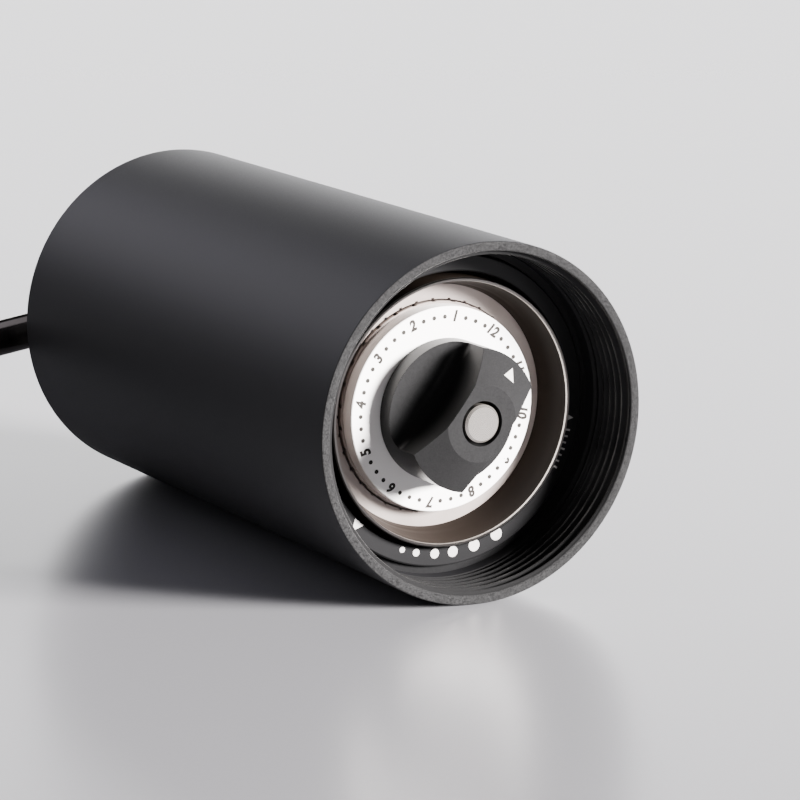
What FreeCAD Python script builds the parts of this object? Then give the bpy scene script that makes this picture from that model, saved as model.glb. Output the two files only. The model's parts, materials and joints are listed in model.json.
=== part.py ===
"""Hand crank coffee grinder, lying on its side with the catch cup unscrewed.

Every piece is drawn upright in local axes, with local Z along the grinder's axis from the open mouth
to the crank, and is then laid down so that local Z becomes +Y. The origin is on the axis at the
outer end of the cup thread, and the mouth's rim is rim_depth in front of it.
"""

import FreeCAD, Part

import math
import os
from types import SimpleNamespace

import Sketcher

DIMS = {
    # outer tube and cup thread
    "tube_radius": 28.5,
    "tube_length": 106.0,
    "rim_depth": 1.5,
    "rim_chamfer": 0.25,
    "thread_root": 27.0,
    "thread_crest": 26.3,
    "thread_pitch": 1.7,
    "crest_flat": 0.4,
    "flank_run": 0.4,
    "thread_ridges": 5,
    # inner frame and collars
    "frame_start": 12.0,
    "frame_bore": 24.6,
    "frame_end": 102.5,
    "flange_seat": 25.6,
    "flange_floor": 14.5,
    "carrier_seat": 17.5,
    "collar_bore": 24.9,
    "retainer_thick": 1.2,
    "turning_play": 0.2,
    # fine adjustment ring
    "fine_front": 9.6,
    "fine_outer": 24.9,
    "fine_inner": 22.1,
    "fine_back": 14.2,
    "fine_flange": 25.4,
    "fine_edge": 0.25,
    # ring burr and its carrier
    "carrier_front": 7.7,
    "carrier_outer": 21.4,
    "carrier_mouth": 20.9,
    "carrier_flange": 24.4,
    "carrier_back": 30.5,
    "carrier_edge": 0.15,
    "carrier_play": 0.4,
    "burr_ledge": 2.0,
    "burr_face": 14.2,
    "burr_outer": 19.4,
    "burr_mouth": 17.0,
    "burr_waist": 14.0,
    "burr_waist_place": 22.0,
    "burr_throat": 12.6,
    "burr_back": 29.0,
    "lead_in": 0.1,
    "lead_depth": 0.5,
    # dial, cone burr and spring
    "dial_face": 11.1,
    "dial_radius": 16.35,
    "dial_thick": 2.6,
    "dial_edge": 0.12,
    "dial_screw_circle": 7.2,
    "dial_screw_head": 1.8,
    "dial_screw_sink": 1.2,
    "cone_bottom": 16.75,
    "cone_waist": 13.75,
    "tooth_play": 0.2,
    "cone_top": 7.0,
    "cone_top_place": 31.0,
    "cone_back": 33.0,
    "hex_corner": 3.58,
    "hex_clear": 0.06,
    "spring_radius": 5.1,
    "spring_wire": 0.45,
    "spring_pitch": 2.2,
    "spring_top": 44.3,
    "spring_play": 0.15,
    # adjustment knob
    "knob_radius": 11.4,
    "knob_base": 10.85,
    "knob_shoulder": 1.8,
    "knob_top": -0.9,
    "boss_radius": 6.1,
    "knob_hole": 3.56,
    "scoop_floor": 7.9,
    "scoop_waist": 4.7,
    "scoop_sweep": 56.0,
    "scoop_fillet": 2.5,
    "knob_angle": 39.0,
    "insert_radius": 4.4,
    "insert_front": 4.6,
    "insert_play": 0.05,
    "detent_circle": 9.3,
    "detent_depth": 2.6,
    "detent_bore": 1.1,
    "detent_ball": 0.95,
    "detent_coil": 0.7,
    "detent_wire": 0.15,
    # shaft and bearings
    "shaft_radius": 3.0,
    "shaft_front": -1.13,
    "shaft_chamfer": 0.35,
    "shaft_hex_start": 12.0,
    "shaft_hex_end": 35.0,
    "drive_hex_start": 99.0,
    "shaft_back": 110.0,
    "bearing_outer": 7.5,
    "bearing_width": 5.0,
    "race_thick": 1.4,
    "ball_circle": 5.25,
    "ball_radius": 1.2,
    "ball_play": 0.05,
    "bearing_lip": 1.0,
    "clip_thick": 0.7,
    "shaft_clip_width": 1.3,
    "lower_place": 45.0,
    "upper_place": 92.0,
    "hub_radius": 9.6,
    "spider_ring": 23.0,
    "spider_depth": 6.0,
    "spider_screw_rise": 3.0,
    "arm_width": 5.0,
    "arm_sink": 0.5,
    "screw_shank": 1.0,
    "screw_head": 1.9,
    "screw_play": 0.1,
    "head_seat": 25.4,
    "lug_head": 1.5,
    "lug_head_height": 1.6,
    "lug_socket": 0.8,
    "lug_circle": 23.0,
    "lug_grip": 2.0,
    "ledge_bore": 21.7,
    "ledge_back": 19.5,
    # lid
    "lid_gap": 0.15,
    "lid_radius": 26.2,
    "lid_top": 107.0,
    "plug_radius": 24.2,
    "plug_front": 101.6,
    "lid_edge": 0.8,
    "groove_place": 0.7,
    "seal_section": 0.65,
    "seal_proud": 0.3,
    "bush_outer": 7.4,
    "bush_inner": 6.25,
    # crank
    "spigot_radius": 6.2,
    "spigot_front": 100.3,
    "crank_hub_radius": 10.0,
    "crank_hub_front": 107.15,
    "crank_hub_back": 119.0,
    "crank_hub_edge": 1.0,
    "hub_roof": 0.6,
    "hub_clip_thick": 0.8,
    "hub_clip_width": 1.6,
    "arm_radius": 3.1,
    "arm_reach": 118.6,
    "arm_place": 114.5,
    "arm_root": 3.0,
    "socket_radius": 4.8,
    "pin_circle": 6.4,
    "pin_radius": 1.25,
    "pin_length": 1.2,
    "pin_hole": 3.0,
    "pin_sink": 0.15,
    "pin_socket": 0.75,
    "eye_radius": 6.0,
    "eye_front": 110.5,
    "eye_back": 118.5,
    # crank knob
    "grip_radius": 12.5,
    "grip_front": 119.0,
    "grip_back": 155.0,
    "grip_bore": 4.2,
    "bush_length": 8.0,
    "axle_radius": 2.5,
    "axle_head": 148.0,
    "axle_head_width": 1.7,
    "axle_head_height": 1.6,
    "rivet_width": 1.5,
    "rivet_height": 1.0,
    "washer_width": 2.5,
    "washer_thick": 0.4,
    "cap_radius": 5.8,
    "cap_thick": 2.0,
    "cap_edge": 0.3,
}


class Size:
    """A dimension that knows its value in millimetres and its text as a spreadsheet expression."""

    def __init__(self, value, text):
        self.value = float(value)
        self.text = text

    def joined(self, other, sign, value):
        text = other.text if isinstance(other, Size) else repr(float(other))
        return Size(value, f"({self.text} {sign} {text})")

    def __add__(self, other):
        return self.joined(other, "+", self.value + number(other))

    def __sub__(self, other):
        return self.joined(other, "-", self.value - number(other))

    def __mul__(self, other):
        return self.joined(other, "*", self.value * number(other))

    def __truediv__(self, other):
        return self.joined(other, "/", self.value / number(other))

    def __neg__(self):
        return Size(-self.value, f"(0 - {self.text})")


def number(size):
    return size.value if isinstance(size, Size) else float(size)


doc = FreeCAD.newDocument("coffee_grinder")
sheet = doc.addObject("Spreadsheet::Sheet", "dims")
for row, (alias, value) in enumerate(DIMS.items(), start=1):
    sheet.set(f"A{row}", alias)
    sheet.set(f"B{row}", str(value))
    sheet.setAlias(f"B{row}", alias)
doc.recompute()
D = SimpleNamespace(**{alias: Size(value, f"dims.{alias}") for alias, value in DIMS.items()})

# Local Z (the grinder's axis) becomes world +Y, and local -Y becomes world +Z.
LAY_DOWN = FreeCAD.Placement(FreeCAD.Vector(), FreeCAD.Rotation(FreeCAD.Vector(1, 0, 0), -90))
AXIS = FreeCAD.Vector(0, 0, 1)
parts = []


def bind(target, prop, size):
    """Gives a property its value, and ties it to the spreadsheet when it is a Size."""
    if isinstance(size, Size):
        target.setExpression(prop, size.text)
    else:
        setattr(target, prop, size)


def place(target, x=0.0, y=0.0, z=0.0, axis=AXIS, degrees=0.0):
    """Places an object by local coordinates, each a number or a Size."""
    spot = FreeCAD.Vector(number(x), number(y), number(z))
    target.Placement = FreeCAD.Placement(spot, FreeCAD.Rotation(axis, degrees))
    for letter, size in (("x", x), ("y", y), ("z", z)):
        if isinstance(size, Size):
            target.setExpression(f"Placement.Base.{letter}", size.text)
    return target


def keep(target, label):
    """Records a finished piece and lays it down."""
    target.Label = label
    target.Placement = LAY_DOWN.multiply(target.Placement)
    parts.append(target)
    return target


def draw_loop(sketch, points):
    """Draws one closed outline, each corner held at its distances from the origin."""
    first = sketch.GeometryCount
    count = len(points)
    for index in range(count):
        x, y = points[index]
        x2, y2 = points[(index + 1) % count]
        start = FreeCAD.Vector(number(x), number(y), 0)
        end = FreeCAD.Vector(number(x2), number(y2), 0)
        sketch.addGeometry(Part.LineSegment(start, end), False)
    for index in range(count):
        join(sketch, first + index, first + (index + 1) % count)
    for index, (x, y) in enumerate(points):
        hold(sketch, "DistanceX", first + index, x)
        hold(sketch, "DistanceY", first + index, y)


def join(sketch, edge, following):
    sketch.addConstraint(Sketcher.Constraint("Coincident", edge, 2, following, 1))


def hold(sketch, kind, edge, size):
    if number(size) == 0.0 and not isinstance(size, Size):
        axis = -2 if kind == "DistanceX" else -1
        sketch.addConstraint(Sketcher.Constraint("PointOnObject", edge, 1, axis))
        return
    name = sketch.addConstraint(Sketcher.Constraint(kind, -1, 1, edge, 1, number(size)))
    if isinstance(size, Size):
        sketch.setExpression(f"Constraints[{name}]", size.text)


def plane(body, role):
    return next(item for item in body.Origin.OriginFeatures if item.Role == role)


def sketch_on(body, role, loops):
    sketch = body.newObject("Sketcher::SketchObject", f"{body.Name}_profile")
    sketch.AttachmentSupport = [(plane(body, role), "")]
    sketch.MapMode = "FlatFace"
    for points in loops:
        draw_loop(sketch, points)
    return sketch


def turned(name, *loops):
    """A body turned about the axis from outlines of (radius, height) corners."""
    body = doc.addObject("PartDesign::Body", name)
    sketch = sketch_on(body, "XZ_Plane", loops)
    turn = body.newObject("PartDesign::Revolution", f"{name}_turn")
    turn.Profile = (sketch, [""])
    turn.ReferenceAxis = (sketch, ["V_Axis"])
    turn.Angle = 360.0
    body.Tip = turn
    return body


def ring(name, inner, outer, front, back):
    """A plain turned ring, or a disc when the inner radius is zero."""
    return turned(name, [(inner, front), (outer, front), (outer, back), (inner, back)])


def cylinder(name, radius, height, **spot):
    item = doc.addObject("Part::Cylinder", name)
    bind(item, "Radius", radius)
    bind(item, "Height", height)
    return place(item, **spot)


def prism(name, corners, radius, height, **spot):
    item = doc.addObject("Part::Prism", name)
    item.Polygon = corners
    bind(item, "Circumradius", radius)
    bind(item, "Height", height)
    return place(item, **spot)


def sphere(name, radius, **spot):
    item = doc.addObject("Part::Sphere", name)
    bind(item, "Radius", radius)
    return place(item, **spot)


def torus(name, circle, section, height):
    item = doc.addObject("Part::Torus", name)
    bind(item, "Radius1", circle)
    bind(item, "Radius2", section)
    return place(item, z=height)


def cut(name, base, tool):
    item = doc.addObject("Part::Cut", name)
    item.Base = base
    item.Tool = tool
    return item


def fuse(name, *shapes):
    item = doc.addObject("Part::MultiFuse", name)
    item.Shapes = list(shapes)
    return item


def group(name, shapes):
    item = doc.addObject("Part::Compound", name)
    item.Links = list(shapes)
    return item


def around(count, start=0.0):
    """Angles in degrees of evenly spaced copies."""
    return [start + 360.0 * index / count for index in range(count)]


def polar(radius, degrees):
    """Local x and y of a point at an angle seen from the mouth, clockwise from the top."""
    angle = math.radians(degrees)
    return radius * math.sin(angle), -radius * math.cos(angle)


def coil(name, radius, wire, pitch, height, centre, steps=14, sides=6):
    """A compression spring of round wire, faceted so that every face is flat."""
    count = round(steps * number(height) / number(pitch))
    middle = FreeCAD.Vector(*(number(value) for value in centre))
    loops = []
    for index in range(count + 1):
        angle = 2 * math.pi * index / steps
        out = FreeCAD.Vector(math.cos(angle), math.sin(angle), 0)
        along = FreeCAD.Vector(-out.y, out.x, number(pitch) / (2 * math.pi * number(radius))).normalize()
        across = along.cross(out)
        spot = middle + out * number(radius) + AXIS * (number(pitch) * index / steps)
        loop = []
        for side in range(sides):
            turn = 2 * math.pi * side / sides
            loop.append(spot + (out * math.cos(turn) + across * math.sin(turn)) * number(wire))
        loops.append(loop)
    faces = [flat_face(list(reversed(loops[0]))), flat_face(loops[-1])]
    for near, far in zip(loops, loops[1:]):
        for side in range(sides):
            following = (side + 1) % sides
            faces.append(flat_face([near[side], near[following], far[following]]))
            faces.append(flat_face([near[side], far[following], far[side]]))
    spring = doc.addObject("Part::Feature", name)
    spring.Shape = Part.makeSolid(Part.makeShell(faces))
    return spring


def flat_face(corners):
    return Part.Face(Part.makePolygon([*corners, corners[0]]))


# ---------------------------------------------------------------- housing


def outer_tube():
    """Thin aluminium tube, with a cup thread of five ridges just inside its mouth."""
    front = -D.rim_depth
    back = D.tube_length - D.rim_depth
    chamfer = D.rim_chamfer
    inner = [(D.thread_root, front + chamfer)]
    ridges = DIMS["thread_ridges"]
    for turn in range(ridges):
        start = D.thread_pitch * turn
        inner.append((D.thread_root, start - D.flank_run))
        inner.append((D.thread_crest, start))
        inner.append((D.thread_crest, start + D.crest_flat))
        inner.append((D.thread_root, start + D.crest_flat + D.flank_run))
    run_out = D.thread_pitch * (ridges - 1) + D.crest_flat + D.flank_run * 3
    inner.append((D.thread_root, run_out - D.flank_run))
    inner.append((D.thread_crest, run_out))
    outline = [
        (D.tube_radius - chamfer, front),
        (D.thread_root + chamfer, front),
        *inner,
        (D.thread_crest, back),
        (D.tube_radius - chamfer * 2, back),
        (D.tube_radius, back - chamfer * 2),
        (D.tube_radius, front + chamfer),
    ]
    keep(turned("tube_body", outline), "outer_tube")


def radial(name, radius, inner, outer, degrees, height):
    """A cylinder that points away from the axis, from one distance to another."""
    direction = FreeCAD.Vector(*polar(1.0, degrees), 0)
    item = doc.addObject("Part::Cylinder", name)
    bind(item, "Radius", radius)
    bind(item, "Height", outer - inner)
    base = direction * number(inner)
    turn = FreeCAD.Rotation(AXIS, direction)
    item.Placement = FreeCAD.Placement(FreeCAD.Vector(base.x, base.y, number(height)), turn)
    item.setExpression("Placement.Base.z", height.text)
    return item


def spider_screw_shapes(name):
    """Shank and head of the six radial screws that hold the two spiders in the sleeve."""
    shapes = []
    for height in (D.lower_place + D.spider_screw_rise, D.upper_place + D.spider_screw_rise):
        for degrees in around(3, 60.0):
            tip = D.spider_ring + D.screw_play
            top = D.thread_crest - D.screw_play
            shank = radial(f"{name}_shank", D.screw_shank, tip, D.head_seat, degrees, height)
            head = radial(f"{name}_head", D.screw_head, D.head_seat, top, degrees, height)
            shapes.append((shank, head))
    return shapes


def lug_shanks(name):
    """Shanks of the three screws that clamp the burr carrier to the sleeve's ledge."""
    front = D.carrier_seat - D.lug_grip
    shanks = []
    for degrees in around(3, 30.0):
        x, y = polar(D.lug_circle.value, degrees)
        shanks.append(cylinder(name, D.screw_shank, D.ledge_back - front, x=x, y=y, z=front))
    return shanks


def inner_frame():
    """Sleeve inside the tube that carries the burr carrier and both spiders."""
    sleeve = turned(
        "frame_sleeve",
        [
            (D.flange_seat, D.frame_start),
            (D.thread_crest, D.frame_start),
            (D.thread_crest, D.frame_end),
            (D.frame_bore, D.frame_end),
            (D.frame_bore, D.ledge_back),
            (D.ledge_bore, D.ledge_back),
            (D.ledge_bore, D.carrier_seat),
            (D.frame_bore, D.carrier_seat),
            (D.frame_bore, D.flange_floor),
            (D.flange_seat, D.flange_floor),
        ],
    )
    holes = [shape for pair in spider_screw_shapes("frame_hole") for shape in pair]
    holes.extend(lug_shanks("frame_lug_hole"))
    keep(cut("frame_drilled", sleeve, fuse("frame_holes", *holes)), "inner_frame")


def spider_arm(name, inner, outer, height, degrees):
    """A flat arm that points away from the axis at an angle from the top."""
    arm = doc.addObject("Part::Box", name)
    bind(arm, "Length", D.arm_width)
    bind(arm, "Width", outer - inner)
    bind(arm, "Height", D.spider_depth - D.arm_sink * 2)
    turn = FreeCAD.Rotation(AXIS, 180.0 + degrees)
    corner = FreeCAD.Vector(-D.arm_width.value / 2, inner.value, height.value)
    arm.Placement = FreeCAD.Placement(turn.multVec(corner), turn)
    arm.setExpression("Placement.Base.z", height.text)
    return arm


def spider(label, height):
    """Bearing housing on three arms, with a lip that stops the bearing from dropping through."""
    depth = D.spider_depth
    hub = ring(f"{label}_hub", D.bearing_outer, D.hub_radius, height, height + depth)
    rim = ring(f"{label}_rim", D.spider_ring, D.frame_bore, height, height + depth)
    lip_bore = D.bearing_outer - D.bearing_lip
    lip = ring(f"{label}_lip", lip_bore, D.hub_radius, height - D.bearing_lip, height)
    inner = D.hub_radius - D.arm_sink
    outer = D.spider_ring + D.arm_sink
    arms = []
    for degrees in around(3):
        arms.append(spider_arm(f"{label}_arm", inner, outer, height + D.arm_sink, degrees))
    body = fuse(f"{label}_body", hub, rim, lip, *arms)
    rise = height + D.spider_screw_rise
    start = D.spider_ring - D.arm_sink
    end = D.frame_bore + D.arm_sink
    drills = []
    for degrees in around(3, 60.0):
        drills.append(radial(f"{label}_drill", D.screw_shank, start, end, degrees, rise))
    keep(cut(f"{label}_drilled", body, fuse(f"{label}_drills", *drills)), label)


def spider_screws():
    screws = []
    for shank, head in spider_screw_shapes("spider_screw"):
        screws.append(fuse("spider_screw", shank, head))
    keep(group("spider_screw_set", screws), "spider_screws")


def bearing(side, height):
    """Open ball bearing: an outer race, an inner race and nine balls."""
    shaft = D.shaft_radius
    back = height + D.bearing_width
    middle = height + D.bearing_width / 2
    track = D.ball_radius + D.ball_play
    outer = ring(f"{side}_outer_blank", D.bearing_outer - D.race_thick, D.bearing_outer, height, back)
    outer_cut = cut(f"{side}_outer", outer, torus(f"{side}_outer_track", D.ball_circle, track, middle))
    keep(outer_cut, f"{side}_bearing_outer_race")
    inner = ring(f"{side}_inner_blank", shaft, shaft + D.race_thick, height, back)
    inner_cut = cut(f"{side}_inner", inner, torus(f"{side}_inner_track", D.ball_circle, track, middle))
    keep(inner_cut, f"{side}_bearing_inner_race")
    balls = []
    for degrees in around(9):
        x, y = polar(D.ball_circle.value, degrees)
        balls.append(sphere(f"{side}_ball", D.ball_radius, x=x, y=y, z=middle))
    keep(group(f"{side}_balls", balls), f"{side}_bearing_balls")


def ring_retainer():
    """Flat ring that holds the fine adjustment ring's flange against the sleeve."""
    inner = D.fine_outer + D.turning_play
    front = D.frame_start - D.retainer_thick
    keep(ring("retainer", inner, D.thread_crest, front, D.frame_start), "ring_retainer")


def burr_carrier():
    """Steel cup with a thin rim towards the mouth, which holds the ring burr."""
    outline = [
        (D.carrier_mouth, D.carrier_front),
        (D.carrier_outer - D.carrier_edge, D.carrier_front),
        (D.carrier_outer, D.carrier_front + D.carrier_edge),
        (D.carrier_outer, D.flange_floor + D.carrier_play),
        (D.frame_bore, D.flange_floor + D.carrier_play),
        (D.frame_bore, D.carrier_seat),
        (D.carrier_outer, D.carrier_seat),
        (D.carrier_outer, D.carrier_back),
        (D.burr_outer - D.burr_ledge, D.carrier_back),
        (D.burr_outer - D.burr_ledge, D.burr_back),
        (D.burr_outer, D.burr_back),
        (D.burr_outer, D.burr_face),
        (D.burr_outer + D.lead_in, D.burr_face - D.lead_depth),
    ]
    holes = fuse("carrier_holes", *lug_shanks("carrier_hole"))
    keep(cut("carrier_drilled", turned("carrier", outline), holes), "burr_carrier")


def carrier_screws():
    """Three screws from behind the sleeve's ledge into the carrier's flange."""
    screws = []
    for shank in lug_shanks("lug_shank"):
        x, y = shank.Placement.Base.x, shank.Placement.Base.y
        head = cylinder("lug_head", D.lug_head, D.lug_head_height, x=x, y=y, z=D.ledge_back)
        floor = D.ledge_back + D.lug_head_height / 2
        socket = prism("lug_socket", 6, D.lug_socket, D.lug_head_height, x=x, y=y, z=floor)
        screws.append(cut("lug_screw", fuse("lug_blank", shank, head), socket))
    keep(group("lug_screws", screws), "carrier_screws")


def slant_tools(name, count, near, far, depth, lead, outward):
    """Three-cornered cutters laid along a cone, each turned by a lead angle, for burr teeth.

    The cone runs between two points of (radius, height). The cutters reach past both ends of it.
    """
    radius_front, front = near
    radius_back, back = far
    rise = number(back) - number(front)
    run = number(radius_back) - number(radius_front)
    length = math.hypot(rise, run)
    overrun = 0.15 * length
    tools = []
    for degrees in around(count):
        x, y = polar(number(radius_front), degrees)
        out = FreeCAD.Vector(x, y, 0).normalize()
        along = FreeCAD.Vector(out.x * run, out.y * run, rise).normalize()
        side = AXIS.cross(out)
        along = FreeCAD.Rotation(out, lead).multVec(along)
        normal = side.cross(along).normalize() * (1 if outward else -1)
        side = along.cross(normal)
        turn = FreeCAD.Rotation(normal, side, along, "XYZ")
        base = FreeCAD.Vector(x, y, number(front)) - along * overrun
        tool = doc.addObject("Part::Prism", name)
        tool.Polygon = 3
        tool.Circumradius = depth
        tool.Height = length + 2 * overrun
        tool.Placement = FreeCAD.Placement(base, turn)
        tools.append(tool)
    return fuse(f"{name}_all", *tools)


def outer_burr():
    """Ring burr: its conical bore has fine teeth at the mouth and a wide throat behind."""
    blank = turned(
        "outer_burr_blank",
        [
            (D.burr_mouth, D.burr_face),
            (D.burr_outer, D.burr_face),
            (D.burr_outer, D.burr_back),
            (D.burr_throat, D.burr_back),
            (D.burr_waist, D.burr_waist_place),
        ],
    )
    mouth = (D.burr_mouth, D.burr_face)
    waist = (D.burr_waist, D.burr_waist_place)
    teeth = slant_tools("outer_tooth", 36, mouth, waist, depth=0.35, lead=6.0, outward=False)
    keep(cut("outer_burr_cut", blank, teeth), "outer_burr")


def bearing_clips():
    """Two circlips that keep the bearings in their hubs."""
    clips = []
    for height in (D.lower_place, D.upper_place):
        front = height + D.bearing_width
        inner = D.bearing_outer - D.bearing_lip
        clips.append(ring("bearing_clip", inner, D.bearing_outer, front, front + D.clip_thick))
    keep(group("bearing_clip_pair", clips), "bearing_clips")


def top_collar():
    """Ring that closes the gap between sleeve and tube at the crank end."""
    back = D.tube_length - D.rim_depth
    keep(ring("collar", D.collar_bore, D.thread_crest, D.frame_end, back), "top_collar")


# ---------------------------------------------------------------- fine adjustment ring


def fine_ring():
    """Turning ring round the carrier, with a flange held behind the retainer."""
    edge = D.fine_edge
    shoulder = D.frame_start + D.turning_play
    outline = [
        (D.fine_inner, D.fine_front + edge),
        (D.fine_inner + edge, D.fine_front),
        (D.fine_outer - edge, D.fine_front),
        (D.fine_outer, D.fine_front + edge),
        (D.fine_outer, shoulder),
        (D.fine_flange, shoulder),
        (D.fine_flange, D.fine_back),
        (D.fine_inner, D.fine_back),
    ]
    keep(turned("fine_ring_turned", outline), "fine_ring")


# ---------------------------------------------------------------- shaft


def drive_shaft():
    """Steel shaft with a hexagon for the cone burr and another for the crank."""
    chamfer = D.shaft_chamfer
    core = turned(
        "shaft_core",
        [
            (0.0, D.shaft_front),
            (D.shaft_radius - chamfer, D.shaft_front),
            (D.shaft_radius, D.shaft_front + chamfer),
            (D.shaft_radius, D.drive_hex_start),
            (0.0, D.drive_hex_start),
        ],
    )
    burr_length = D.shaft_hex_end - D.shaft_hex_start
    burr_hex = prism("shaft_burr_hex", 6, D.hex_corner, burr_length, z=D.shaft_hex_start)
    crank_length = D.shaft_back - D.drive_hex_start
    crank_hex = prism("shaft_crank_hex", 6, D.shaft_radius, crank_length, z=D.drive_hex_start)
    keep(fuse("shaft_whole", core, burr_hex, crank_hex), "drive_shaft")


def shaft_clips():
    """Two clips that stop the shaft from sliding through its bearings."""
    inner = D.shaft_radius
    outer = inner + D.shaft_clip_width
    above = D.lower_place + D.bearing_width
    below = D.upper_place
    clips = [
        ring("shaft_clip", inner, outer, above, above + D.clip_thick),
        ring("shaft_clip", inner, outer, below - D.clip_thick, below),
    ]
    keep(group("shaft_clip_pair", clips), "shaft_clips")


def spring_seat():
    """Washer between the spring and the lower bearing."""
    outer = D.spring_radius + D.spring_wire * 2
    keep(ring("seat_washer", D.shaft_radius, outer, D.spring_top, D.lower_place), "spring_seat")


def burr_spring():
    """Spring that presses the cone burr down against the adjustment knob."""
    front = D.cone_back + D.spring_play + D.spring_wire
    height = D.spring_top - D.spring_play - D.spring_wire - front
    centre = (0, 0, front)
    keep(coil("pressure_coil", D.spring_radius, D.spring_wire, D.spring_pitch, height, centre), "burr_spring")


# ---------------------------------------------------------------- cone burr and dial


def cone_burr():
    """Cone burr: fine teeth at its foot, coarse winding flutes at its tip, and a hexagonal bore."""
    foot = D.dial_face + D.dial_thick
    blank = turned(
        "cone_blank",
        [
            (0.0, foot),
            (D.cone_bottom, foot),
            (D.cone_bottom, D.burr_face + D.tooth_play),
            (D.cone_waist, D.burr_waist_place),
            (D.cone_top, D.cone_top_place),
            (D.cone_top, D.cone_back),
            (0.0, D.cone_back),
        ],
    )
    bottom = (D.cone_bottom, D.burr_face)
    waist = (D.cone_waist, D.burr_waist_place)
    top = (D.cone_top, D.cone_top_place)
    fine = slant_tools("cone_tooth", 30, bottom, waist, depth=0.5, lead=-8.0, outward=True)
    coarse = slant_tools("cone_flute", 6, waist, top, depth=2.2, lead=-28.0, outward=True)
    height = D.cone_back - D.dial_face
    bore = prism("cone_bore", 6, D.hex_corner + D.hex_clear, height, z=D.dial_face)
    keep(cut("cone_cut", blank, fuse("cone_tools", fine, coarse, bore)), "cone_burr")


def dial_screw_spots():
    return [polar(D.dial_screw_circle.value, degrees) for degrees in around(3, 9.0)]


def dial_plate():
    """Numbered disc under the knob, with screw holes and the detents' dimples."""
    back = D.dial_face + D.dial_thick
    edge = D.dial_edge
    blank = turned(
        "dial_blank",
        [
            (0.0, D.dial_face),
            (D.dial_radius - edge, D.dial_face),
            (D.dial_radius, D.dial_face + edge),
            (D.dial_radius, back),
            (0.0, back),
        ],
    )
    tools = [prism("dial_bore", 6, D.hex_corner + D.hex_clear, D.dial_thick, z=D.dial_face)]
    for x, y in dial_screw_spots():
        tools.append(cylinder("dial_hole", D.screw_shank, D.dial_thick, x=x, y=y, z=D.dial_face))
        head = cylinder("dial_counterbore", D.dial_screw_head, D.dial_screw_sink, x=x, y=y, z=D.dial_face)
        tools.append(head)
    keep(cut("dial_cut", blank, fuse("dial_tools", *tools)), "dial_plate")


def dial_screws():
    """Three sunk screws, hidden under the knob, that hold the dial to the cone burr."""
    top = D.dial_face + D.screw_play
    seat = D.dial_face + D.dial_screw_sink
    grip = D.dial_thick - D.dial_screw_sink
    screws = []
    for x, y in dial_screw_spots():
        head = cylinder("dial_screw_head", D.dial_screw_head, seat - top, x=x, y=y, z=top)
        shank = cylinder("dial_screw_shank", D.screw_shank, grip, x=x, y=y, z=seat)
        slot = prism("dial_screw_socket", 6, D.dial_screw_head / 2, D.clip_thick, x=x, y=y, z=D.dial_face)
        screws.append(cut("dial_screw", fuse("dial_screw_blank", head, shank), slot))
    keep(group("dial_screw_set", screws), "dial_screws")


# ---------------------------------------------------------------- adjustment knob


def detent_spots():
    return [polar(D.detent_circle.value, degrees) for degrees in around(2, D.knob_angle.value)]


def adjust_knob():
    """Bow-tie knob: a disc and a cone, with a flat boss and a deep finger scoop on each side."""
    blank = turned(
        "knob_blank",
        [
            (D.knob_hole, D.knob_top),
            (D.boss_radius, D.knob_top),
            (D.knob_radius, D.knob_shoulder),
            (D.knob_radius, D.knob_base),
            (D.insert_radius, D.knob_base),
            (D.insert_radius, D.insert_front),
            (D.knob_hole, D.insert_front),
        ],
    )
    tools = []
    for side in (-90.0, 90.0):
        x, y = polar(D.scoop_sweep.value + D.scoop_waist.value, D.knob_angle.value + side)
        height = D.scoop_floor - D.knob_top * 6
        wall = cylinder("scoop_wall", D.scoop_sweep, height, x=x, y=y, z=D.knob_top * 6)
        doc.recompute()
        scoop = doc.addObject("Part::Fillet", "scoop")
        scoop.Base = wall
        floor_edge = max(
            range(len(wall.Shape.Edges)),
            key=lambda index: wall.Shape.Edges[index].CenterOfMass.z,
        )
        scoop.Edges = [(floor_edge + 1, D.scoop_fillet.value, D.scoop_fillet.value)]
        tools.append(scoop)
    for x, y in detent_spots():
        bottom = D.knob_base - D.detent_depth
        tools.append(cylinder("detent_pocket", D.detent_bore, D.detent_depth, x=x, y=y, z=bottom))
    keep(cut("knob_cut", blank, fuse("knob_tools", *tools)), "adjust_knob")


def knob_insert():
    """Brass nut in the knob that runs on the shaft's thread."""
    inner = D.shaft_radius + D.insert_play
    keep(ring("insert", inner, D.insert_radius, D.insert_front, D.knob_base), "knob_insert")


def detents():
    """Two sprung balls under the knob that click on the dial."""
    radius = D.detent_coil
    wire = D.detent_wire
    centre = D.knob_base + D.turning_play - D.detent_ball
    front = D.knob_base - D.detent_depth + wire
    balls = []
    springs = []
    for x, y in detent_spots():
        balls.append(sphere("detent_ball", D.detent_ball, x=x, y=y, z=centre))
        springs.append(coil("detent_coil", radius, wire, wire * 2.7, radius * 0.9, (x, y, front), steps=10))
    keep(group("detent_ball_pair", balls), "detent_balls")
    keep(group("detent_spring_pair", springs), "detent_springs")


# ---------------------------------------------------------------- lid


def lid():
    """Lid with a plug that fits the sleeve, a groove for the seal and a bore for the bush."""
    front = D.tube_length - D.rim_depth + D.lid_gap
    groove = D.plug_front + D.groove_place
    section = D.seal_section * 2
    groove_floor = D.plug_radius - section + D.seal_proud
    outline = [
        (D.bush_outer, D.plug_front),
        (D.plug_radius, D.plug_front),
        (D.plug_radius, groove),
        (groove_floor, groove),
        (groove_floor, groove + section),
        (D.plug_radius, groove + section),
        (D.plug_radius, front),
        (D.lid_radius, front),
        (D.lid_radius, D.lid_top - D.lid_edge),
        (D.lid_radius - D.lid_edge, D.lid_top),
        (D.bush_outer, D.lid_top),
    ]
    keep(turned("lid_turned", outline), "lid")


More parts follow.
